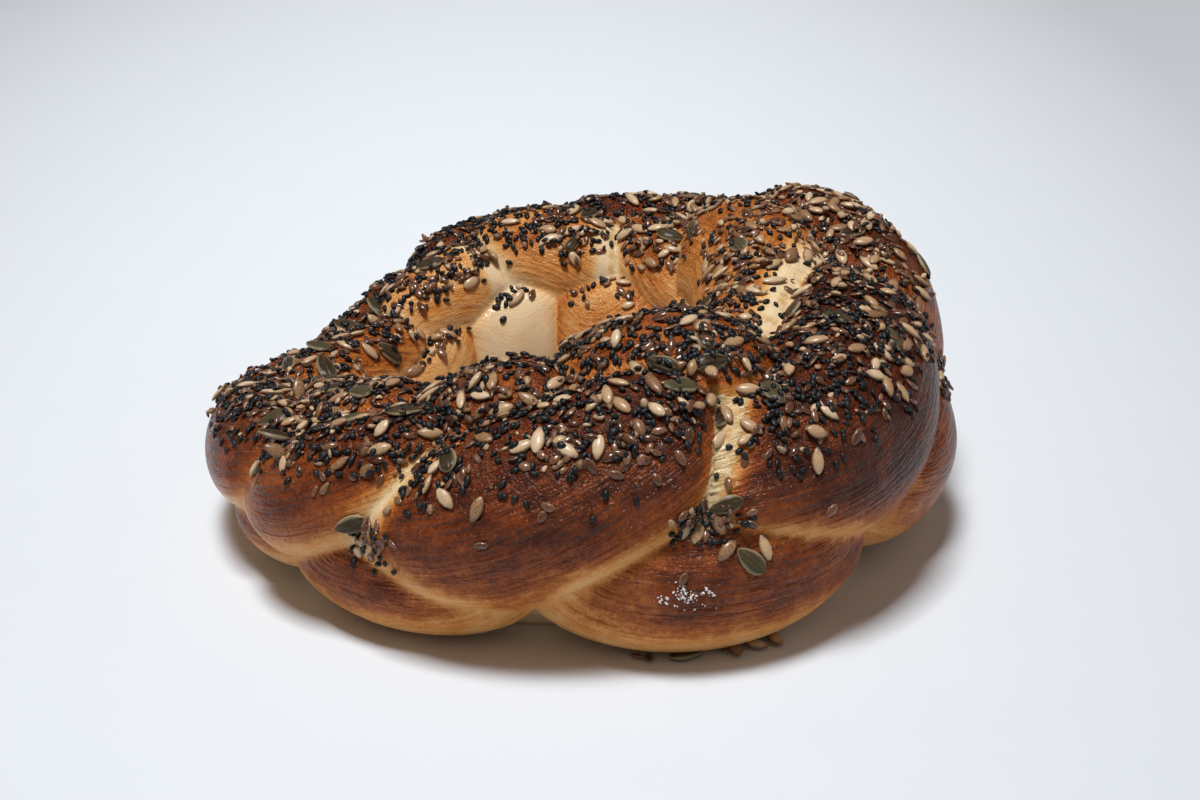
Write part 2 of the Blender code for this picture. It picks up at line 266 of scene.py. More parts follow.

# %% [markdown]
# ## What the oven did
#
# Colour on a loaf is a record of heat. The top and the outward bulges brown first. The creases,
# the foot, the wall of the hole and the hem of each upper strand over the lower row stay golden or
# cream. A strand is paler where it comes out from under its neighbour and darker where it dives
# again. Where two strands pull apart late in the oven the dough tears, and torn skin is palest.
# Paint by hand would suit one view only, so the tone of each point is worked out from its distance
# to the nearest crease, its place along the strand and the way it faces. In the creases of the lower
# strands in the hole the crust is darkened instead, which is painted shade.

# %% Distance to the creases
strand_on_top = layers.argmax(0)
ordered = np.sort(layers, 0)
margin = ordered[-1] - ordered[-2]
STEPS = ((1, 0), (-1, 0), (0, 1), (0, -1), (1, 1), (1, -1), (-1, 1), (-1, -1))  # to the neighbours


def crease_distance(among=range(33), rounds=26):
    """Distance along the skin to the nearest crease between two of these strands. Where neighbours
    belong to different strands, the crease lies between them in the ratio of their margins. Then
    the distance spreads over the grid, each point taking its neighbour's plus the step between."""
    far = np.full(margin.shape, 0.05)
    gaps = [np.linalg.norm(points - np.roll(points, s, (0, 1)), axis=-1) for s in STEPS]
    counts = np.isin(strand_on_top, among)
    for s, gap in zip(STEPS, gaps):
        other, theirs, also = (np.roll(v, s, (0, 1)) for v in (strand_on_top, margin, counts))
        part = margin / np.maximum(margin + theirs, 1e-9)
        meet = (other != strand_on_top) & counts & also
        far = np.where(meet, np.minimum(far, part * gap), far)
    for _ in range(rounds):
        for s, gap in zip(STEPS, gaps):
            far = np.minimum(far, np.roll(far, s, (0, 1)) + gap)
    return far


from_crease = crease_distance()
print("points in a crease:", int((from_crease < 0.001).sum()))

# %% [markdown]
# Two things are seen on the real loaf and can't be worked out: how dark each strand baked, and
# where the dough tore open between two strands, how wide, and over which leans.

# %% Torn seams
# baked tone of each strand, 0 cream to 1 nearly black, a line each for the upper outer, the lower
# outer, the upper inner and the lower inner ones
STRAND_TONE = (.78, .78, .86, .96, .82, .80, .76, .74,
               .78, .84, .82, .80, .78, .78, .78, .74,
               .72, .62, .48, .60, .46, .36, .56, .66,
               .30, .28, .28, .34, .02, .24, .28, .34)
CORE_TONE = 0.2
# torn seams: the two strands, width at the first and at the last lean, metres, how pale
TORN = (((3, 4), .0042, .0115, 20, 62, 1.0),  # the two front strands
        ((4, 19), .0075, .0085, 60, 100, 0.56),  # front right strand and the long top one
        ((2, 3), .0022, .005, 6, 50, 0.7),
        ((20, 21), .0035, .005, 95, 160, 0.8),
        ((21, 22), .002, .003, 95, 160, 0.55))


def fade(x, low, high):
    """0 up to low, 1 from high, smooth between (smoothstep); low may be above high."""
    t = np.clip((x - low) / (high - low), 0, 1)
    return t * t * (3 - 2 * t)


fresh = np.zeros(strand_on_top.shape)
near_torn, golden, fold_shade = fresh.copy(), fresh.copy(), fresh.copy()
for pair, narrow, wide, low, high, pale in TORN:
    away = crease_distance(pair)
    width = narrow + (wide - narrow) * fade(lean_grid, low, high)
    width = width * np.where(strand_on_top == pair[1], 1.0, 0.3)
    within = fade(lean_grid, low - 10, low + 2) * fade(lean_grid, high + 14, high)
    fresh = np.maximum(fresh, pale * within * fade(away, 1.3 * width, 0.45 * width))
    near_torn = np.maximum(near_torn, within * fade(away, 0.014, 0.002))
    golden = np.maximum(golden, within * (strand_on_top == pair[1]) * fade(away - width, 0.01, 0.0))
    # the palest torn seams get dark slits between their fibres, painted shade in the folds
    fold_shade = np.maximum(fold_shade, (pale == 1) * within * fade(away, 0.0045, 0.0008))
print("torn skin, cm2:", round(float((areas * (fresh > .5)).sum()) * 1e4, 1))

# %% How far each point is baked
facing_up = normals[..., 2]
group = (strand_on_top - 1) // 8  # -1 core, 0 upper outer, 1 lower outer, 2 upper inner, 3 lower inner
travelled = np.take_along_axis(charts[..., 0], strand_on_top[None], 0)[0]
share = travelled / lengths[strand_on_top]  # how far along its strand a point lies
starting = fade(share, 0.42, 0.1) * ((group == 0) | (group == 1))
ripe = fade(share, 0.45, 0.85) * (group == 0)
hem = fade(from_crease, 0.022, 0.004) * fade(facing_up, 0.4, -0.1) * np.where(group < 1, 1, 0.45)
# painted shade: near a crease most strands are paler, but on the lower inner strands the crease is
# darkened, shade painted into the hollows
crease = fade(from_crease, 0.007, 0.0) * np.where(group == 3, -0.12, 0.2)
underside = fade(facing_up, 0.15, -0.6)
lip = fade(facing_up, 0.0, -0.45) * fade(from_crease, 0.011, 0.001)
foot = fade(points[..., 2], 0.022, 0.004) * fade(facing_up, 0.35, -0.55)
wall = fade(lean_grid, 118, 152) * (group == 2)
tone = np.array((CORE_TONE,) + STRAND_TONE)[strand_on_top] - crease
tone = tone - 0.22 * near_torn - 0.34 * golden - 0.14 * starting + 0.08 * ripe - 0.24 * hem
lowest = np.minimum(tone, 0.27)
tone = (tone - 0.3 * lip - 0.2 * wall) * (1 - 0.36 * underside) * (1 - 0.55 * foot)
tone = np.maximum(tone, lowest)
for _ in range(2):  # soften the steps that the grid leaves along the creases
    tone = 0.4 * tone + 0.15 * sum(np.roll(tone, s, (0, 1)) for s in STEPS[:4])
print("tone from", round(float(tone.min()), 2), "to", round(float(tone.max()), 2))

# %% [markdown]
# The grid becomes one mesh. Its first map follows the strands, in metres along and across, so that
# the stretch lines of the dough can run along them. A face takes all its corners from one strand,
# the one on top at its clearest corner, or the pattern would smear across every crease.

# %% Make the crust


def closed_grid_faces(count_a, count_b):
    """Four corners of each cell of a grid that closes on itself both ways."""
    a, b = np.meshgrid(np.arange(count_a), np.arange(count_b), indexing="ij")
    ahead, over = (a + 1) % count_a, (b + 1) % count_b
    cells = (a * count_b + b, ahead * count_b + b, ahead * count_b + over, a * count_b + over)
    return np.stack(cells, -1).reshape(-1, 4)


def linked(name, data):
    """A new object in the scene with that mesh, light or camera."""
    made = bpy.data.objects.new(name, data)
    bpy.context.scene.collection.objects.link(made)
    return made


def make_piece(name, places, *faces):
    """One smooth-shaded mesh object from an array of points and one of faces for each number of
    corners that its faces have."""
    corners = np.concatenate([f.ravel() for f in faces])
    sizes = np.concatenate([np.full(len(f), f.shape[1]) for f in faces])
    mesh = bpy.data.meshes.new(name)
    mesh.vertices.add(len(places))
    mesh.vertices.foreach_set("co", np.ascontiguousarray(places, np.float32).ravel())
    mesh.loops.add(len(corners))
    mesh.loops.foreach_set("vertex_index", corners.astype(np.int32))
    mesh.polygons.add(len(sizes))
    mesh.polygons.foreach_set("loop_start", (np.cumsum(sizes) - sizes).astype(np.int32))
    mesh.polygons.foreach_set("loop_total", sizes.astype(np.int32))
    mesh.update(calc_edges=True)
    mesh.shade_smooth()
    return linked(name, mesh)


def add_value(piece, name, values):
    """One number for each point, which a material reads by its name."""
    found = piece.data.attributes.new(name, "FLOAT", "POINT")
    found.data.foreach_set("value", np.ascontiguousarray(values, np.float32).ravel())


def add_map(piece, name, corner_places):
    """A map: two coordinates for each corner of each face."""
    layer = piece.data.uv_layers.new(name=name)
    layer.data.foreach_set("uv", np.ascontiguousarray(corner_places, np.float32).ravel())


faces = closed_grid_faces(AROUND, ACROSS)
crust = make_piece("crust", points.reshape(-1, 3), faces)
clearest = faces[np.arange(len(faces)), margin.ravel()[faces].argmax(1)]
face_owner = strand_on_top.ravel()[clearest]
flat_charts = charts.reshape(len(charts), -1, 2)
strand_map = flat_charts[face_owner[:, None], faces] + face_owner[:, None, None] * (0.37, 0.11)
add_map(crust, "strand", strand_map)
add_value(crust, "tone", tone)
add_value(crust, "fresh", fresh)
add_value(crust, "fold_shade", fold_shade)
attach(crust, "root")
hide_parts("challah")
print("crust faces:", len(faces))

# %% [markdown]
# ## The crust's finish
#
# A baked, egg-washed crust is thin brown glaze over paler dough. Four kinds of pattern lie in it: clouds
# a centimetre or two wide where it browned unevenly, fine stretch lines along each strand, pits
# like the grain of leather where it faces up, and pale blisters under a millimetre wide. Nodes make
# all four, because they hold up in a close view, and where the dough stayed pale they are weaker.
# The colour ramp runs from cream through gold and chestnut to nearly black. The glaze is the
# shader's thin coat. It follows the same relief, or its shine would lie on the pits like glass.

# %% Helpers for materials


class Finish:
    """A material and its nodes: add() makes a node with set values and links."""

    def __init__(self, name):
        self.material = bpy.data.materials.new(name)
        self.material.use_nodes = True
        self.tree = self.material.node_tree
        self.shader = self.tree.nodes["Principled BSDF"]

    def add(self, kind, links=(), **values):
        """A node of that kind. values set its properties; links set or connect its inputs."""
        node = self.tree.nodes.new("ShaderNode" + kind)
        for key, value in values.items():
            setattr(node, key, value)
        for key, value in dict(links).items():
            self.join(value, node.inputs[key])
        return node

    def join(self, value, socket):
        """Connects an output, or sets a plain value."""
        if isinstance(value, bpy.types.NodeSocket):
            self.tree.links.new(value, socket)
        else:
            socket.default_value = value

    def math(self, operation, a, b=0.0, c=0.0):
        """One operation on numbers."""
        return self.add("Math", {0: a, 1: b, 2: c}, operation=operation).outputs[0]

    def plus(self, a, b):
        """Sum of two numbers."""
        return self.math("ADD", a, b)

    def times(self, a, b):
        """Product of two numbers."""
        return self.math("MULTIPLY", a, b)

    def value(self, name):
        """The number that each point of the piece carries under that name."""
        return self.add("Attribute", attribute_name=name).outputs["Fac"]

    def spread(self, value, low, high, to_low=0.0, to_high=1.0):
        """A number from one range onto another, clamped."""
        links = {"Value": value, "From Min": low, "From Max": high, "To Min": to_low, "To Max": to_high}
        return self.add("MapRange", links).outputs["Result"]

    def noise(self, where, scale, detail=2.0, rough=0.5):
        """Cloudy pattern, mostly between 0.3 and 0.7, its lumps 1 / scale wide."""
        links = {"Vector": where, "Scale": scale, "Detail": detail, "Roughness": rough}
        return self.add("TexNoise", links).outputs["Fac"]

    def ramp(self, value, stops):
        """Colour by number, through (place, colour) stops in order."""
        node = self.add("ValToRGB", {"Fac": value})
        for place, _ in stops[1:-1]:
            node.color_ramp.elements.new(place)
        for stop, (place, colour) in zip(node.color_ramp.elements, stops):
            stop.position, stop.color = place, (*colour, 1)
        return node.outputs["Color"]

    def mix(self, share_of_b, a, b, blend="MIX"):
        """Two colours mixed; they are the node's inputs 6 and 7, after those for numbers."""
        links = {"Factor": share_of_b, 6: a, 7: b}
        return self.add("Mix", links, data_type="RGBA", blend_type=blend).outputs[2]

    def bump(self, height, strength, distance, under=None):
        """Small relief, distance metres high."""
        links = {"Height": height, "Strength": strength, "Distance": distance}
        if under is not None:
            links["Normal"] = under
        return self.add("Bump", links).outputs["Normal"]

    def set(self, **sockets):
        """Sets or joins sockets of the shader; an underscore stands for a space."""
        for name, value in sockets.items():
            self.join(value, self.shader.inputs[name.replace("_", " ")])


# %% Patterns in the crust
glaze = Finish("crust")
here = glaze.add("TexCoord").outputs["Object"]
strand_place = glaze.add("UVMap", uv_map="strand").outputs["UV"]


def along_strand(long_way, cross_way, detail, rough, turn=0.0):
    """A cloudy pattern on the strand's own place, with its lumps drawn out along the strand."""
    links = {"Vector": strand_place, "Scale": (long_way, cross_way, 1), "Rotation": (0, 0, turn)}
    return glaze.noise(glaze.add("Mapping", links).outputs["Vector"], 1, detail, rough)


clouds = glaze.noise(here, 70, 3, 0.55)
mottle = glaze.noise(here, 230, 2, 0.5)
freckles = glaze.noise(here, 520, 3, 0.6)
lines = along_strand(60, 620, 3, 0.6)
wrinkles = along_strand(48, 230, 3, 0.55)
streaks = along_strand(16, 150, 2, 0.5)
fibres = along_strand(170, 900, 3, 0.65, 0.35)
cells = glaze.add("TexVoronoi", {"Vector": here, "Scale": 900, "Randomness": 1.0})
pits = glaze.add("TexVoronoi", {"Vector": here, "Scale": 1050, "Randomness": 0.9},
                 feature="SMOOTH_F1").outputs["Distance"]
blister_gate = glaze.noise(here, 240, 1, 0.5)
blister = glaze.times(glaze.spread(cells.outputs["Distance"], 0.34, 0.16),
                      glaze.spread(blister_gate, 0.5, 0.64))
print("patterns in the crust:", sum(n.type.startswith("TEX_") for n in glaze.tree.nodes))

# %% Colour of the crust
tone_here, fresh_here = glaze.value("tone"), glaze.value("fresh")
# painted shade: the crust is a little darker in the hollow of each pit; the other patterns add tone that
# differs at random
uneven_tone_and_pit_shade = glaze.spread(pits, 0.1, 0.6, 0.05, -0.05)
for pattern, swing in ((clouds, .11), (mottle, .05), (freckles, .06), (lines, -.085), (streaks, .07)):
    uneven_tone_and_pit_shade = glaze.plus(uneven_tone_and_pit_shade, glaze.spread(pattern, 0.3, 0.7, -swing, swing))
level = glaze.math("MULTIPLY_ADD", uneven_tone_and_pit_shade, glaze.spread(tone_here, 0.15, 0.65, 0.3, 1.0), tone_here)
baked = glaze.ramp(level, (
    (0.00, (0.82, 0.62, 0.38)),
    (0.17, (0.74, 0.44, 0.18)),
    (0.34, (0.62, 0.250, 0.062)),
    (0.50, (0.39, 0.105, 0.017)),
    (0.66, (0.245, 0.053, 0.0095)),
    (0.82, (0.130, 0.0265, 0.0070)),
    (0.97, (0.056, 0.0125, 0.0055))))
torn = glaze.plus(fresh_here, glaze.spread(fibres, 0.3, 0.7, -0.34, 0.34))
torn = glaze.plus(torn, glaze.spread(mottle, 0.3, 0.7, -0.22, 0.22))
torn = glaze.times(glaze.spread(torn, 0.3, 0.72), glaze.spread(fresh_here, 0.02, 0.2))
dough = glaze.mix(glaze.spread(fibres, 0.34, 0.62), (0.5, 0.31, 0.12, 1), (0.82, 0.65, 0.39, 1))
dough = glaze.mix(glaze.spread(mottle, 0.46, 0.66, 0, 0.7), dough, (0.58, 0.31, 0.085, 1))
colour = glaze.mix(torn, baked, dough)
# painted shade: dark slits between the fibres of the torn dough, where the folds lie in shade
slit_shade = glaze.times(glaze.spread(fibres, 0.5, 0.38), glaze.value("fold_shade"))
colour = glaze.mix(slit_shade, colour, (0.13, 0.085, 0.045, 1))
colour = glaze.mix(glaze.times(blister, 0.22), colour, (0.5, 0.25, 0.1, 1))
print("stops of the crust's colour ramp:", len(baked.node.color_ramp.elements))

# %% Relief and gloss of the crust
rough = glaze.spread(lines, 0.3, 0.7, 0.3, 0.48)
rough = glaze.plus(rough, glaze.times(torn, 0.35))
relief = glaze.math("MULTIPLY_ADD", wrinkles, 1.4, glaze.times(lines, 1.2))
relief = glaze.plus(relief, glaze.times(torn, glaze.spread(fibres, 0.2, 0.8, 0, 1.2)))
firm = glaze.spread(level, 0.05, 0.6, 0.15, 1.0)
up_here = glaze.add("SeparateXYZ", {0: glaze.add("NewGeometry").outputs["Normal"]}).outputs[2]
on_top = glaze.spread(up_here, 0.3, 0.75, 0.35, 1.0)
bumped = glaze.bump(relief, glaze.times(firm, 0.8), 0.0017)
skin_pits = glaze.math("MULTIPLY_ADD", pits, 0.9, glaze.times(freckles, 0.8))
bumped = glaze.bump(skin_pits, glaze.times(firm, on_top), 0.0009, bumped)
bumped = glaze.bump(blister, 0.35, 0.0003, bumped)
glaze.set(Base_Color=colour, Roughness=rough, Normal=bumped, Coat_Normal=bumped, Coat_Weight=0.34)
glaze.set(Coat_Roughness=0.1, Specular_IOR_Level=0.04)
crust.data.materials.append(glaze.material)
print("nodes in the crust's finish:", len(glaze.tree.nodes))

# %% [markdown]
# ## Where seeds stick
#
# Seeds are strewn from above onto wet egg wash, so they lie thick where the crust faces up, thin
# out on the shoulders and miss the steep sides. Some roll down and gather where strands meet. The
# slope of the skin gives the chance of a seed, and random places are drawn from that. A particle
# system could strew them too, but this gives the same loaf every time.

# %% Larger seeds that the solid has too
TABLE = (480, 240)  # cells of the skin that the larger seeds were placed on
PUMPKIN_SEED = (.012, .0068, .0026)
SUNFLOWER_SEED = (.009, .0046, .0025)
JOINED = {"pumpkin": 24, "sunflower": 86}  # how many of each the solid has
SEED_GAP = 0.0108  # least distance from a seed that chance places to any other
SEED_SINK = 0.25  # share of the thickness that is under the skin
SEEDED = (.42, .8)  # share of upward slope where seeds begin, and where they are thick
JUNCTIONS = ((293, 17, 7), (244, 15, 5), (356, 14, 6))  # turn, lean, degrees: clumps low down

# the seeds that stand out: turn, lean, and heading counted from the way that the turn grows
PUMPKIN_PLACES = (
    (240, 20, 20), (214, 91, 30), (226, 88, 0), (232, 68, 45), (214, 60, 65), (148, 79, 75),
    (158, 76, 75), (165, 127, 115), (293, 66, 355), (302, 82, 255), (308, 57, 80), (293, 80, 320),
    (301, 73, 170), (298, 2, 310), (41, 118, 150), (14, 67, 290), (131, 100, 150), (80, 104, 250),
    (13, 37, 210), (336, 53, 230))
SUNFLOWER_PLACES = (
    (242, 52, 30), (249, 65, 20), (252, 75, 45), (260, 55, 330), (262, 74, 20), (259, 87, 275),
    (267, 49, 205), (278, 47, 75), (274, 46, 140), (283, 62, 300), (289, 82, 290), (272, 85, 225),
    (300, 55, 85), (297, 47, 30), (292, 13, 235), (295, 6, 35), (300, 5, 275), (241, 5, 225),
    (221, 84, 45), (224, 77, 5), (227, 95, 355), (253, 95, 305), (302, 91, 15), (307, 78, 0),
    (315, 80, 345), (331, 87, 155), (327, 58, 160), (331, 52, 80), (341, 50, 90), (340, 42, 205),
    (357, 104, 325), (347, 92, 280), (8, 73, 180), (6, 63, 220), (354, 67, 210), (14, 44, 255),
    (171, 119, 80), (174, 107, 80))
print("larger seeds named by place:", len(PUMPKIN_PLACES), "and", len(SUNFLOWER_PLACES))

# %% Lay the larger seeds


def chosen_places(places):
    """Positions, normals and headings of places named by turn, lean and heading."""
    turn, lean, heading = np.array(places, float).T
    i = np.round(turn / 360 * TABLE[0]).astype(int) % TABLE[0]
    j = np.round((lean + 90) / 360 * TABLE[1]).astype(int) % TABLE[1]
    return table[i, j], table_normal[i, j], np.radians(heading)


def degrees_off(turn, lean, at, up):
    """How far places are from the one at turn 'at' and lean 'up', in degrees; a degree of lean is
    shorter on the skin, so it counts for less."""
    return np.hypot((turn - at + 180) % 360 - 180, (lean - up) * 0.8)


def pick(chance, tries, rng):
    """Random cells of a grid, each as likely as its share of the chance."""
    shares = np.cumsum(chance.ravel())
    return np.searchsorted(shares, rng.random(tries) * shares[-1])


def chance_places(tries=4000):
    """Seeded random positions, normals and headings, thick on top and at the junctions."""
    low, high = SEEDED
    thick = np.clip((table_normal[..., 2] - low) / (high - low), 0, 1)
    for at, up, wide in JUNCTIONS:
        off = degrees_off(table_turn, table_lean, at, up)
        thick = np.maximum(thick, np.where(off < wide, 2.0, 0))
    picked = pick(thick * table_area, tries, rng)
    at, up = (v.reshape(-1, 3)[picked] for v in (table, table_normal))
    return at, up, rng.random(tries) * 6.2832


class Places:
    """Seeds laid so far: kind, where, which way is up, heading, size, height above the skin, and
    tilt, which is left to chance where it isn't a number."""

    def __init__(self):
        self.kind, self.at, self.rest = [], [], []

    def lay(self, kind, at, up, heading, size=1.0, lift=0.0, tilt=np.nan):
        """Adds one seed."""
        self.kind.append(kind)
        self.at.append(at)
        self.rest.append((*up, heading, size, lift, tilt))

    def lay_at(self, kind, places, **own):
        """Adds a seed at each place named by turn, lean and heading."""
        for at, up, heading in zip(*chosen_places(places)):
            self.lay(kind, at, up, heading, **own)

    def of(self, kind):
        """Arrays of where, up, heading, size, height and tilt for the seeds of one kind."""
        own = np.array(self.kind) == kind
        rest = np.array(self.rest, float)[own]
        return np.array(self.at, float)[own], rest[:, :3], *rest[:, 3:].T.copy()


table_turn, table_lean = np.meshgrid(np.arange(TABLE[0]) * 360 / TABLE[0],
                                     np.arange(TABLE[1]) * 360 / TABLE[1] - 90, indexing="ij")
table = skin(table_turn, table_lean)[0]
table_normal, table_area = normals_of(table)
rng = np.random.default_rng(7)
laid = Places()
for kind, chosen in (("pumpkin", PUMPKIN_PLACES), ("sunflower", SUNFLOWER_PLACES)):
    laid.lay_at(kind, chosen, tilt=0.0)
    wanted = len(laid.at) + JOINED[kind] - len(chosen)
    for at, up, heading in zip(*chance_places()):
        if len(laid.at) == wanted:
            break
        if np.linalg.norm(np.array(laid.at) - at, axis=1).min() > SEED_GAP:
            laid.lay(kind, at, up, heading, tilt=0.0)
print("seeds that the solid has:", len(laid.at))

# %% Chance of a seed at each point


def lumps(p, scale, seed):
    """Slow random clumps, about 0 to 1: a few plane waves of random direction, added."""
    waves = np.random.default_rng(seed).normal(size=(7, 3)) * scale
    phase = np.random.default_rng(seed + 1).random(7) * 6.28
    total = sum(np.sin(p @ w + f) for w, f in zip(waves, phase))
    return np.clip(0.5 + total / 5, 0, 1)


strewn = fade(facing_up, 0.35, 0.85) * (0.35 + 0.9 * lumps(points, 160, 3))
strewn = strewn * (1 - 0.9 * fade(fresh, 0.1, 0.4)) * (1 + 0.8 * fade(from_crease, 0.007, 0.0))
strewn = strewn * fade(lean_grid, 158, 128) * fade(lean_grid, 18, 48)
# where kernels gather: at the far right and in the clumps
kernels_here = fade(points[..., 0], 0.0, 0.06) * fade(points[..., 1], -0.06, 0.01)
for at, up, wide in JUNCTIONS:
    clump = fade(degrees_off(turn_grid, lean_grid, at, up), wide, 0.5 * wide)
    strewn = np.maximum(strewn, 2.2 * clump)
    kernels_here = np.maximum(kernels_here, clump)
print("seeded skin, cm2:", round(float((areas * (strewn > 0.3)).sum()) * 1e4))


def draw(chance, tries, rng):
    """Random points of the skin by chance and area, each moved a little within its cell."""
    a, b = np.divmod(pick(chance * areas, tries, rng), ACROSS)
    u, v = rng.random(tries) - 0.5, rng.random(tries) - 0.5
    here = points[a, b]
    ahead, over = points[(a + 1) % AROUND, b] - here, points[a, (b + 1) % ACROSS] - here
    return here + u[:, None] * ahead + v[:, None] * over, normals[a, b]


# %% [markdown]
# ## Single seeds
#
# Chance alone gives an even coat, but the eye knows a loaf by its strays: flax shells alone on a
# bare front, a few black seeds below the others, seeds on end that break the outline, those that
# fell to the foot of the loaf, and a touch of flour. They are few, so each is named by its place.
# The solid has none of them: they are small, stand loose on the others or lie beside the loaf.

# %% Small things that the eye finds at once
FLAX_PLACES = (  # turn, lean, heading
    (234, 31, 80), (262, 16, 5), (270, 26, 60), (302, 36, 20), (316, 33, 100), (309, 14, 40),
    (309, 40, 10), (244, 40, 70), (286, 35, 120), (271, 29, 340), (244, 4, 60), (289, -2, 60),
    (250, 36, 95), (296, 30, 80), (322, 36, 60), (228, 40, 30))
BLACK_PLACES = (  # turn, lean, heading, at the lower junctions and strays on the fronts
    (245, 15, 90), (245, 11, 60), (246, 8, 120), (247, 5, 100), (245, 3, 30), (242, 7, 100),
    (239, 4, 60), (240, -2, 95), (244, -4, 80), (248, 1, 70), (266, 32, 60), (277, 24, 20),
    (283, 29, 100), (291, 22, 90), (303, 33, 45), (312, 28, 100), (318, 30, 60), (306, 28, 20))
STANDING = (  # kind, turn, lean, heading, tilt, for seeds on end
    ("flax", 122, 64, 40, 75), ("pumpkin", 222, 49, 70, 55), ("sunflower", 225, 44, 20, 65),
    ("sunflower", 300, 70, 100, 50), ("sunflower", 206, 80, 0, 60), ("pumpkin", 176, 92, 60, 12),
    ("pumpkin", 188, 102, 20, 10), ("pumpkin", 196, 86, 75, 14), ("pumpkin", 182, 78, 10, 8),
    ("pumpkin", 204, 98, 40, 12))
ON_THE_FLOOR = (  # kind, x, y, heading, at the foot of the loaf and half under it
    ("pumpkin", .0345, -.112, 175), ("flax", .0225, -.1135, 80), ("sunflower", .051, -.1088, 70),
    ("sunflower", .0582, -.1062, 125), ("sunflower", .0645, -.1028, 75), ("flax", .048, -.108, 20),
    ("flax", .019, -.1125, 150))
FLOUR = (  # turn, lean, spread in degrees, how many grains
    (286, -8, 0.9, 22), (289, -7.5, 1.3, 55), (288.4, -5, 0.8, 18), (291.7, -6.5, 0.8, 20),
    (290, -12, 2, 8))
rng = np.random.default_rng(5)
laid.lay_at("flax", FLAX_PLACES)
laid.lay_at("black", BLACK_PLACES)
for kind, turn, lean, heading, tilt in STANDING:
    laid.lay_at(kind, [(turn, lean, heading)], tilt=np.radians(tilt))
for kind, x, y, heading in ON_THE_FLOOR:
    laid.lay(kind, (x, y, 0.0008), (0, 0, 1), np.radians(heading), tilt=0.0)
for turn, lean, wide, count in FLOUR:
    spots = np.stack([turn + wide * 0.5 * rng.normal(size=count), lean + wide * rng.normal(size=count),
                      rng.random(count) * 360], -1)
    for at, up, heading in zip(*chosen_places(spots)):
        at = at + rng.normal(size=3) * 0.0005
        laid.lay("flour", at, up, heading, size=rng.uniform(0.5, 1.5))
print("placed by hand:", len(laid.at) - sum(JOINED.values()))

# %% [markdown]
# ## Strewing
#
# Large seeds come first, then flax, then crumbs of broken seeds, then the small black seeds that
# fill what is left. A seed that would land on others is dropped or, one time in four, lies on top
# of them, which makes the coat look deep. At the far right and in the clumps there are more
# kernels and crumbs and fewer black seeds.

# %% Strew every kind
STACKED = 0.25  # share of the seeds landing on others that stay there
# how wide and how thick a seed of each kind counts when seeds are kept apart or piled up
ROOM = {"pumpkin": (.0088, .0026), "sunflower": (.0062, .0025), "flax": (.0034, .0011),
        "crumb": (.0022, .001), "black": (.0024, .0014), "flour": (0, 0)}
# kind, how many, how close, least and most size, share of them where kernels gather
COUNTS = (("pumpkin", 12, 0.85, 0.85, 1.0, 0.6), ("sunflower", 330, 0.6, 0.66, 1.02, 1.5),
          ("flax", 1150, 0.5, 0.8, 1.2, 1.0), ("crumb", 1300, 0.45, 0.55, 1.7, 2.0),
          ("black", 3000, 0.58, 0.8, 1.15, 0.4))
rng = np.random.default_rng(11)

used = len(laid.at)
capacity = used + sum(count for _, count, *_ in COUNTS)
spots, reach_of, tall_of = np.zeros((capacity, 3)), np.zeros(capacity), np.zeros(capacity)
spots[:used] = laid.at
reach_of[:used], tall_of[:used] = np.array([ROOM[kind] for kind in laid.kind]).T
tall_of[:used] *= 1 - SEED_SINK
for kind, count, closeness, least, most, there in COUNTS:
    wide, thick = ROOM[kind]
    tries = count * 6
    where, ups = draw(strewn ** 0.9 * (1 + (there - 1) * kernels_here), tries, rng)
    stack, head = rng.random(tries), rng.random(tries) * 2 * np.pi
    grow = rng.uniform(least, most, tries)
    made = 0
    for k in range(tries):
        if made == count:
            break
        gap = np.linalg.norm(spots[:used] - where[k], axis=1)
        overlap = gap < closeness * 0.5 * (reach_of[:used] + wide)
        height_above = 0.0
        if overlap.any():
            if stack[k] > STACKED or overlap.sum() > 2:
                continue
            height_above = tall_of[:used][overlap].max() * 0.7
        laid.lay(kind, where[k], ups[k], head[k], grow[k], height_above)
        spots[used], reach_of[used] = where[k], wide
        tall_of[used] = height_above + (1 - SEED_SINK) * thick
        used += 1
        made += 1
    print(kind, made)

# %% [markdown]
# ## Shapes of the seeds
#
# All the kinds are drops: a pointed end, rings that swell and close again, and a blunt end. They
# differ in outline, in how flat they are and in how many corners they need, few for a 3 mm seed
# and more for a pumpkin seed. Every seed of a kind is a turned copy of one drop, and whole arrays
# join the copies into one mesh.

# %% One drop, many seeds
FLAX_SEED = (.0049, .0026, .0011)  # length, width, thickness
BLACK_SEED = (.0032, .002, .0015)
CRUMB = (.0026, .0018, .001)
FLOUR_GRAIN = (.0007, .0005, .0005)
# share of the length and girth of each ring
DROP = ((.04, .26), (.17, .6), (.4, .92), (.63, 1.0), (.82, .82), (.95, .42))
SMALL_DROP = ((.12, .52), (.5, 1.0), (.85, .74))
LEAF = ((.08, .34), (.3, .8), (.55, 1.0), (.78, .8), (.94, .38))


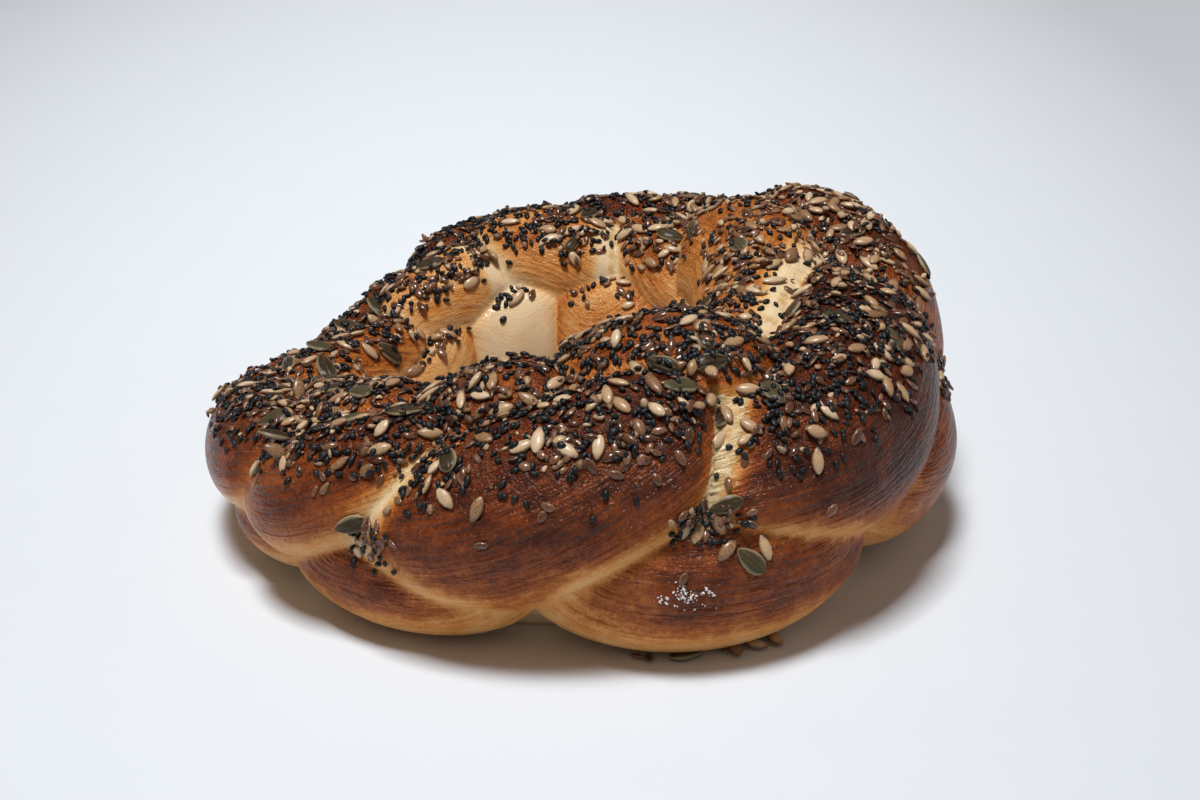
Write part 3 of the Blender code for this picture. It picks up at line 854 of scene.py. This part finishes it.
def drop(length, width, thickness, rings, corners):
    """Points, faces, a flat map and how near the rim each point is. Along X come the tip, the rings
    and the blunt end. A ring is an ellipse: its width is the seed's times the girth, its height the
    seed's thickness times the girth to the power 0.8."""
    angle = 2 * np.pi * np.arange(corners) / corners
    body = [np.stack([np.full(corners, length * (along - .5)),
                      width / 2 * girth * np.cos(angle),
                      thickness / 2 * girth ** .8 * np.sin(angle)], -1) for along, girth in rings]
    p = np.vstack([[-length / 2, 0, 0], *body, [length / 2, 0, 0]])
    near_rim = np.concatenate([[1], *[np.abs(np.cos(angle)) ** 3] * len(rings), [1]])
    k, last, ahead = np.arange(corners), len(p) - 1, (np.arange(corners) + 1) % corners
    first = 1 + corners * np.arange(len(rings) - 1)[:, None]
    quads = np.stack([first + k, first + ahead, first + corners + ahead, first + corners + k], -1)
    ends = np.stack([[0 * k, 1 + ahead, 1 + k],
                     [0 * k + last, last - corners + k, last - corners + ahead]]).swapaxes(1, 2)
    flat = p[:, :2] / (length, width) + .5
    return p, (quads.reshape(-1, 4), ends.reshape(-1, 3)), flat, near_rim


def turned_frames(at, up, heading, tilt, tilt_way):
    """Three axes for each seed: Z along the skin's normal and X by the heading, counted from the way
    that the turn grows. Then v turns about the tilt's axis: v cos + (axis x v) sin + the part of v
    along the axis times (1 - cos), which is Rodrigues' rule."""
    ahead = np.stack([-at[:, 1] - CENTRE[1], at[:, 0] + CENTRE[0], 0 * at[:, 0]], -1)
    ahead -= (ahead * up).sum(1, keepdims=True) * up
    ahead /= np.maximum(np.linalg.norm(ahead, axis=1), 1e-9)[:, None]
    side = np.cross(up, ahead)
    c, s = np.cos(heading)[:, None], np.sin(heading)[:, None]
    x, y = c * ahead + s * side, c * side - s * ahead
    axis = np.cos(tilt_way)[:, None] * x + np.sin(tilt_way)[:, None] * y
    v, axis, c, s = np.stack([x, y, up], 1), axis[:, None], np.cos(tilt), np.sin(tilt)
    c, s = c[:, None, None], s[:, None, None]
    return v * c + np.cross(axis, v) * s + axis * (v * axis).sum(-1, keepdims=True) * (1 - c)


def strewn_seeds(name, kind, measures, rings, corners, tilt, draws):
    """All the seeds of a kind as one mesh, varied by the random draws of that number. Those that
    the solid has too come first and lie exactly as in it."""
    at, up, heading, size, lift, own_tilt = laid.of(kind)
    rng = np.random.default_rng(draws)
    count = len(at)
    by_chance = np.isnan(own_tilt)
    tilts = np.where(by_chance, np.abs(rng.normal(0, np.radians(tilt), count)), own_tilt)
    tilt_way = np.where(by_chance, rng.random(count) * 2 * np.pi, np.pi / 2)
    frames = turned_frames(at, up, heading, tilts, tilt_way)
    raised = lift + measures[2] * (0.5 - SEED_SINK) + measures[0] * 0.35 * np.sin(tilts)
    p, faces, flat, rim = drop(*measures, rings, corners)
    varied = (np.arange(count) >= JOINED.get(kind, 0))[:, None, None]
    stretch = size[:, None, None] * (1 + 0.1 * rng.normal(size=(count, 1, 3)) * varied)
    places = np.einsum("nvk,nkj->nvj", p[None] * stretch, frames) + (at + up * raised[:, None])[:, None]
    places[..., 2] = np.maximum(places[..., 2], 0.0002)
    shift = np.arange(count)[:, None, None] * len(p)
    faces = [(f[None] + shift).reshape(-1, f.shape[1]) for f in faces]
    piece = make_piece(name, places.reshape(-1, 3), *faces)
    add_map(piece, "seed", np.tile(flat, (count, 1))[np.concatenate([f.ravel() for f in faces])])
    add_value(piece, "shade", np.repeat(rng.random(count), len(p)))
    add_value(piece, "rim", np.tile(rim, count))
    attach(piece, "root")
    print(name, count, "seeds,", sum(len(f) * (f.shape[1] - 2) for f in faces), "triangles")
    return piece


seeds = {}
for draws, (name, kind, *shape) in enumerate((
        ("pumpkin_seeds", "pumpkin", PUMPKIN_SEED, DROP, 14, 5),
        ("sunflower_kernels", "sunflower", SUNFLOWER_SEED, LEAF, 8, 9),
        ("flax_seeds", "flax", FLAX_SEED, SMALL_DROP, 6, 16),
        ("black_seeds", "black", BLACK_SEED, SMALL_DROP, 6, 16),
        ("seed_crumbs", "crumb", CRUMB, SMALL_DROP, 5, 25),
        ("flour_specks", "flour", FLOUR_GRAIN, SMALL_DROP, 5, 30)), 21):
    seeds[kind] = strewn_seeds(name, kind, *shape, draws)

# %% [markdown]
# ## Finishes of the seeds
#
# Each seed carries one random number, which shifts its colour a little, so no two neighbours
# match. A pumpkin seed is dark olive brown, with ribs along it and a pale rim. A sunflower kernel
# is cream, toasted at its tip, and its dark brown edges are toasting and painted shade together.
# Flax is brown and shiny, its pale rim a painted highlight; the small black seeds are faintly shiny.

# %% Seed materials


def seed_finish(kind, name, stops, roughness, rim_colour=None, rim_share=0.0, tip_colour=None,
                ribs=0.0, coat=0.0, shine=0.5):
    """Colour by each seed's own number, darker or paler along the rim and at the tip."""
    finish = Finish(name)
    place = finish.add("UVMap", uv_map="seed").outputs["UV"]
    along, across, _ = finish.add("SeparateXYZ", {0: place}).outputs
    specks = finish.noise(finish.add("TexCoord").outputs["Object"], 1500, 2, 0.6)
    tone = finish.plus(finish.value("shade"), finish.spread(specks, 0.3, 0.7, -0.15, 0.15))
    colour = finish.ramp(tone, stops)
    if tip_colour:
        near_tip = finish.times(finish.spread(along, 0.32, 0.0),
                                finish.spread(specks, 0.3, 0.6, 0.3, 1.0))
        colour = finish.mix(near_tip, colour, tip_colour)
    if rim_colour:
        edge = finish.times(finish.spread(finish.value("rim"), 0.3, 1.0), rim_share)
        colour = finish.mix(edge, colour, rim_colour)
    relief = finish.times(specks, 0.4)
    if ribs:
        wave = finish.math("SINE", finish.times(across, ribs))
        stretched = finish.add("Mapping", {"Vector": place, "Scale": (3, 26, 1)}).outputs[0]
        grain = finish.noise(stretched, 1, 2, 0.6)
        relief = finish.plus(relief, finish.times(wave, 0.8))
        colour = finish.mix(finish.spread(grain, 0.48, 0.78, 0, 0.4), colour, (0.22, 0.19, 0.12, 1))
    finish.set(Base_Color=colour, Roughness=roughness, Normal=finish.bump(relief, 0.4, 0.0003))
    finish.set(Coat_Weight=coat, Coat_Roughness=0.15, Specular_IOR_Level=shine)
    seeds[kind].data.materials.append(finish.material)


seed_finish("pumpkin", "pumpkin_seed",
            ((0.0, (0.03, 0.015, 0.007)), (0.5, (0.052, 0.034, 0.015)), (1.0, (0.076, 0.062, 0.03))),
            0.28, (0.42, 0.33, 0.2, 1), 0.9, ribs=26.0, coat=0.12, shine=0.08)
# the dark brown rim of a kernel is toasting and painted shade along its edges; the dark tip is toasting
seed_finish("sunflower", "sunflower_kernel",
            ((0.0, (0.2, 0.095, 0.04)), (0.28, (0.42, 0.245, 0.12)), (0.65, (0.56, 0.37, 0.205)),
             (1.0, (0.68, 0.49, 0.31))),
            0.36, (0.13, 0.058, 0.024, 1), 0.85, (0.12, 0.055, 0.025, 1), coat=0.3, shine=0.3)
# painted highlight: the pale rim of each flax seed stands in for the shine along its edge
seed_finish("flax", "flax_seed",
            ((0.0, (0.06, 0.02, 0.01)), (0.5, (0.125, 0.044, 0.02)), (1.0, (0.24, 0.105, 0.05))),
            0.24, (0.42, 0.28, 0.18, 1), 0.55, coat=0.75, shine=0.25)
seed_finish("black", "black_seed",
            ((0.0, (0.006, 0.007, 0.009)), (1.0, (0.02, 0.019, 0.021))), 0.4, shine=0.28)
seed_finish("crumb", "seed_crumb",
            ((0.0, (0.085, 0.034, 0.016)), (0.5, (0.24, 0.115, 0.052)), (1.0, (0.62, 0.44, 0.26))), 0.5)
seed_finish("flour", "flour", ((0.0, (0.74, 0.7, 0.66)), (1.0, (0.86, 0.84, 0.81))), 0.9)
print("finishes:", sorted(m.name for m in bpy.data.materials))

# %% [markdown]
# ## Floor and light
#
# The loaf stands on a plain pale surface that fills the picture; its colour is painted a little
# darker towards the corners, a painted shade. One soft panel hangs high above, a little to the left
# and towards the viewer, so the top shines and the short shadow reaches further to the right; a
# weak one lights the right side. The sky is faint and warm, like light that comes back from a brown
# loaf, which keeps the shadow brown. The high panel is slightly cool, so that both together leave
# the floor white.

# %% Floor
floor_corners = np.array([(-4, -3, 0), (4, -3, 0), (4, 5, 0), (-4, 5, 0)], float)
floor = make_piece("floor", floor_corners, np.array([[0, 1, 2, 3]]))
paper = Finish("floor")
paper_place = paper.add("TexCoord").outputs["Object"]
grain = paper.noise(paper_place, 30, 2, 0.5)
pale = paper.mix(grain, (0.82, 0.864, 0.909, 1), (0.841, 0.883, 0.922, 1))
scaled = paper.add("Mapping", {"Vector": paper_place, "Location": (0.047, -0.239, 0),
                               "Scale": (1.38, 0.498, 0)})
away = paper.add("VectorMath", {0: scaled.outputs[0]}, operation="LENGTH").outputs["Value"]
# painted shade: the floor's colour darkens away from a point near the loaf, towards the corners
painted_falloff = paper.spread(paper.times(away, away), 0.0, 0.31, 1.0, 0.7)
paper.set(Base_Color=paper.mix(1.0, pale, painted_falloff, "MULTIPLY"), Roughness=0.75)
floor.data.materials.append(paper.material)
print("floor, m:", np.ptp(floor_corners, 0)[:2])

# %% Light


def facing(right, up, back, at):
    """A place with these three axes."""
    return Matrix([[*map(float, row)] for row in np.stack([right, up, back, at], 1)] + [[0, 0, 0, 1]])


def panel(name, at, towards, size, power, colour):
    """A flat square panel that glows and faces a point."""
    lamp = bpy.data.lights.new(name, "AREA")
    lamp.size, lamp.energy, lamp.color = size, power, colour
    back = np.subtract(at, towards)
    back /= np.linalg.norm(back)
    side = np.cross((0, 0, 1.0), back)
    side /= np.linalg.norm(side)
    linked(name, lamp).matrix_world = facing(side, np.cross(back, side), back, at)


panel("key", (-0.375, -0.48, 3.33), (0, 0, 0.03), 0.9, 118.0, (0.967, 0.982, 1.0))
panel("side", (1.3, -0.2, 0.7), (0, 0, 0.05), 0.8, 0.9, (1.0, 0.95, 0.92))
world = bpy.data.worlds.new("sky")
world.use_nodes = True
sky = world.node_tree.nodes["Background"].inputs
sky["Color"].default_value = (1.0, 0.92, 0.85, 1)
sky["Strength"].default_value = 0.138
bpy.context.scene.world = world
bpy.context.scene.view_settings.view_transform = "Standard"

# %% [markdown]
# ## Camera
#
# The camera looks along +Y, 25 degrees down, from 74 cm away with a 60 mm lens. It is moved
# sideways and up without turning until the ring's centre lands where it is in the picture.

# %% Camera
LENS, SENSOR, ELEVATION, DISTANCE = 60.0, 36.0, 25.0, 0.74
AIM = np.array([-CENTRE[0], -CENTRE[1], 0.0383])
AIM_PIXEL = (552, 402)
FRAME = (1200, 800)  # pixels of the picture that the aim was read in
tilt_down = np.radians(ELEVATION)
forward = np.array([0, np.cos(tilt_down), -np.sin(tilt_down)])
right = np.array([1.0, 0, 0])
upward = np.cross(right, forward)
focal = LENS / SENSOR * FRAME[0]
aside, above = (np.array(AIM_PIXEL) - np.array(FRAME) / 2) / focal
place = AIM + DISTANCE * (above * upward - aside * right - forward)
lens = bpy.data.cameras.new("camera")
lens.lens, lens.sensor_width = LENS, SENSOR
camera = linked("camera", lens)
camera.matrix_world = facing(right, upward, -forward, place)
bpy.context.scene.camera = camera
print("camera at", np.round(place, 3))
